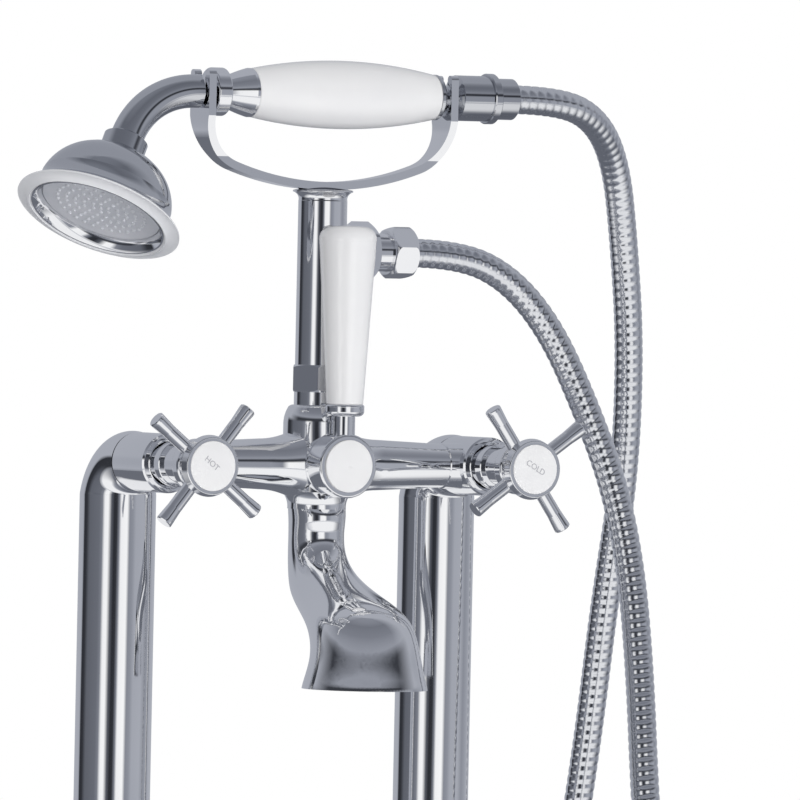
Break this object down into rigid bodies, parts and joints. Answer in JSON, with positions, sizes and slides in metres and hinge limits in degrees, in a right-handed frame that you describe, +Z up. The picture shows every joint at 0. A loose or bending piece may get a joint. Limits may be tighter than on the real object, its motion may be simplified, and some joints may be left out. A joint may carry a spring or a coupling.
{
  "type": "floor standing bath filler",
  "caption": "Floor standing bath filler: legs with swept elbows, cross handles, lever diverter, curved spout, and a hand shower with hose resting in a cradle.",
  "frame": {"origin": "on the floor midway between the two legs, at the centre of the outer floor screws", "axes": "+Z up, -Y towards the bath and the user (the spout side), +X to the right seen from the bath"},
  "size_m": [0.3815, 0.1911, 1.0009],
  "materials": {
    "chrome": "polished chrome plate on brass",
    "hose_steel": "polished, spirally wound metal hose",
    "brass": "machined",
    "steel": "plain stainless",
    "porcelain": "glazed white ceramic",
    "white_ring": "white gloss",
    "face_grey": "satin pale grey",
    "rubber": "matt black",
    "plastic": "natural"
  },
  "bodies": {
    "frame": {"floor_flange_left": "chrome", "floor_flange_right": "chrome", "leg_tube_left": "chrome", "leg_tube_right": "chrome", "elbow_left": "chrome", "elbow_right": "chrome", "valve_body_left": "chrome", "valve_body_right": "chrome", "bonnet_left": "chrome", "bonnet_right": "chrome", "mixer_body": "chrome", "stem_nut": "chrome", "stem": "chrome", "outlet_back_nut": "chrome", "outlet_hose_nut": "chrome", "cradle": "chrome", "spout": "chrome", "hose": "hose_steel", "supply_pipe_left": "brass", "supply_pipe_right": "brass", "cartridge_left": "brass", "cartridge_right": "brass", "diverter_cartridge": "brass", "flange_grub_screws": "steel", "elbow_washers": "rubber", "stem_washer": "rubber", "spout_straightener": "plastic"},
    "handle_left": {"handle_left": "chrome", "index_bezel_left": "chrome", "index_disc_left": "porcelain", "handle_screw_left": "steel", "spindle_left": "brass"},
    "handle_right": {"handle_right": "chrome", "index_bezel_right": "chrome", "index_disc_right": "porcelain", "handle_screw_right": "steel", "spindle_right": "brass"},
    "diverter": {"lever_hub": "chrome", "lever_disc": "porcelain", "lever_ferrule": "chrome", "lever_rod": "steel", "lever_grip": "porcelain", "diverter_spindle": "brass"},
    "handset": {"gooseneck": "chrome", "front_ferrule": "chrome", "handset_grip": "porcelain", "rear_ferrule": "chrome", "hose_swivel_nut": "chrome", "handset_tube": "plastic", "rose_nut": "chrome", "rose_bell": "chrome", "rose_ring": "white_ring", "rose_liner": "chrome", "rose_face": "face_grey", "rose_screw": "steel"}
  },
  "joints": [
    {"name": "left_valve_turn", "type": "hinge", "parent": "frame", "child": "handle_left", "pos_m": [-0.09, -0.09, 0.8], "axis": [0, -1, 0], "range_deg": [0, 90]},
    {"name": "right_valve_turn", "type": "hinge", "parent": "frame", "child": "handle_right", "pos_m": [0.09, -0.09, 0.8], "axis": [0, -1, 0], "range_deg": [-90, 0]},
    {"name": "diverter_turn", "type": "hinge", "parent": "frame", "child": "diverter", "pos_m": [0, -0.06, 0.8], "axis": [0, -1, 0], "range_deg": [-45, 45]},
    {"name": "handset_lift", "type": "slide", "parent": "frame", "child": "handset", "axis": [0, 0, 1], "range_m": [0, 0.03], "deforming": ["hose"]}
  ]
}
